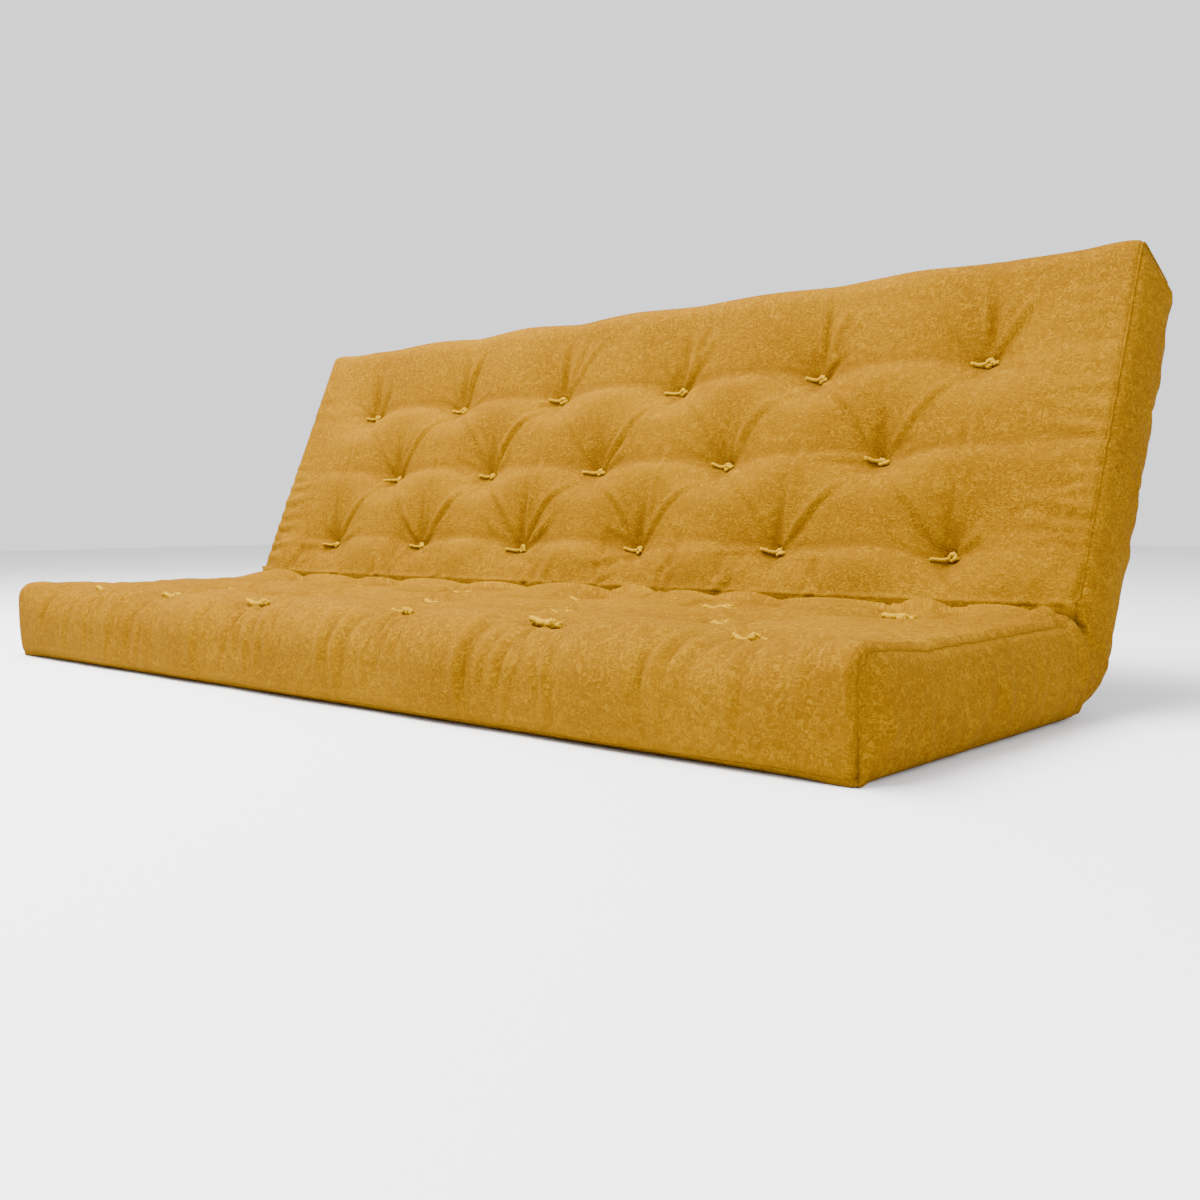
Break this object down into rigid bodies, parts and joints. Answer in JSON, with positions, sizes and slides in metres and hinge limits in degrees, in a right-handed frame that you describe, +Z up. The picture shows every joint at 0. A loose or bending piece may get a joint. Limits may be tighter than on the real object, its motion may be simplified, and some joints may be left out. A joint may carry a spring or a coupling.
{
  "type": "futon mattress",
  "caption": "Tufted futon mattress for a sofa bed, folded along its middle into a low seat and a leaning back, with knotted twine ties through the filling.",
  "frame": {"origin": "bottom centre of the bounding box, with the mattress folded to its sofa shape and its seat lying on the ground plane", "axes": "+X along the mattress length, +Z up, the seat's front edge towards -Y and the back leaning towards +Y"},
  "size_m": [1.9, 0.8936, 0.6593],
  "materials": {
    "casing_fabric": "matte linen and cotton weave, mustard yellow",
    "cotton_felt": "matte carded cotton felt",
    "latex_foam": "matte open-cell foam",
    "tie_twine": "twisted cotton twine, brighter yellow"
  },
  "bodies": {
    "seat_section": {"seat_face_felt": "cotton_felt", "seat_face_panel": "casing_fabric", "seat_foam_core": "latex_foam", "seat_left_panel": "casing_fabric", "seat_right_panel": "casing_fabric", "seat_tie_edge_1": "tie_twine", "seat_tie_edge_2": "tie_twine", "seat_tie_edge_3": "tie_twine", "seat_tie_edge_4": "tie_twine", "seat_tie_edge_5": "tie_twine", "seat_tie_edge_6": "tie_twine", "seat_tie_fold_1": "tie_twine", "seat_tie_fold_2": "tie_twine", "seat_tie_fold_3": "tie_twine", "seat_tie_fold_4": "tie_twine", "seat_tie_fold_5": "tie_twine", "seat_tie_fold_6": "tie_twine", "seat_tie_middle_1": "tie_twine", "seat_tie_middle_2": "tie_twine", "seat_tie_middle_3": "tie_twine", "seat_tie_middle_4": "tie_twine", "seat_tie_middle_5": "tie_twine", "seat_under_felt": "cotton_felt", "seat_under_panel": "casing_fabric", "fold_crease_panel": "casing_fabric", "fold_face_felt": "cotton_felt", "fold_foam_core": "latex_foam", "fold_left_panel": "casing_fabric", "fold_right_panel": "casing_fabric", "fold_under_felt": "cotton_felt", "fold_under_panel": "casing_fabric"},
    "back_section": {"back_face_felt": "cotton_felt", "back_face_panel": "casing_fabric", "back_foam_core": "latex_foam", "back_left_panel": "casing_fabric", "back_right_panel": "casing_fabric", "back_tie_edge_1": "tie_twine", "back_tie_edge_2": "tie_twine", "back_tie_edge_3": "tie_twine", "back_tie_edge_4": "tie_twine", "back_tie_edge_5": "tie_twine", "back_tie_edge_6": "tie_twine", "back_tie_fold_1": "tie_twine", "back_tie_fold_2": "tie_twine", "back_tie_fold_3": "tie_twine", "back_tie_fold_4": "tie_twine", "back_tie_fold_5": "tie_twine", "back_tie_fold_6": "tie_twine", "back_tie_middle_1": "tie_twine", "back_tie_middle_2": "tie_twine", "back_tie_middle_3": "tie_twine", "back_tie_middle_4": "tie_twine", "back_tie_middle_5": "tie_twine", "back_under_felt": "cotton_felt", "back_under_panel": "casing_fabric"}
  },
  "joints": [
    {"name": "middle_fold", "type": "hinge", "parent": "seat_section", "child": "back_section", "pos_m": [0, 0.10321, 0.14], "axis": [-1, 0, 0], "range_deg": [-105, 67], "deforming": ["fold_crease_panel", "fold_face_felt", "fold_foam_core", "fold_left_panel", "fold_right_panel", "fold_under_felt", "fold_under_panel"]}
  ]
}
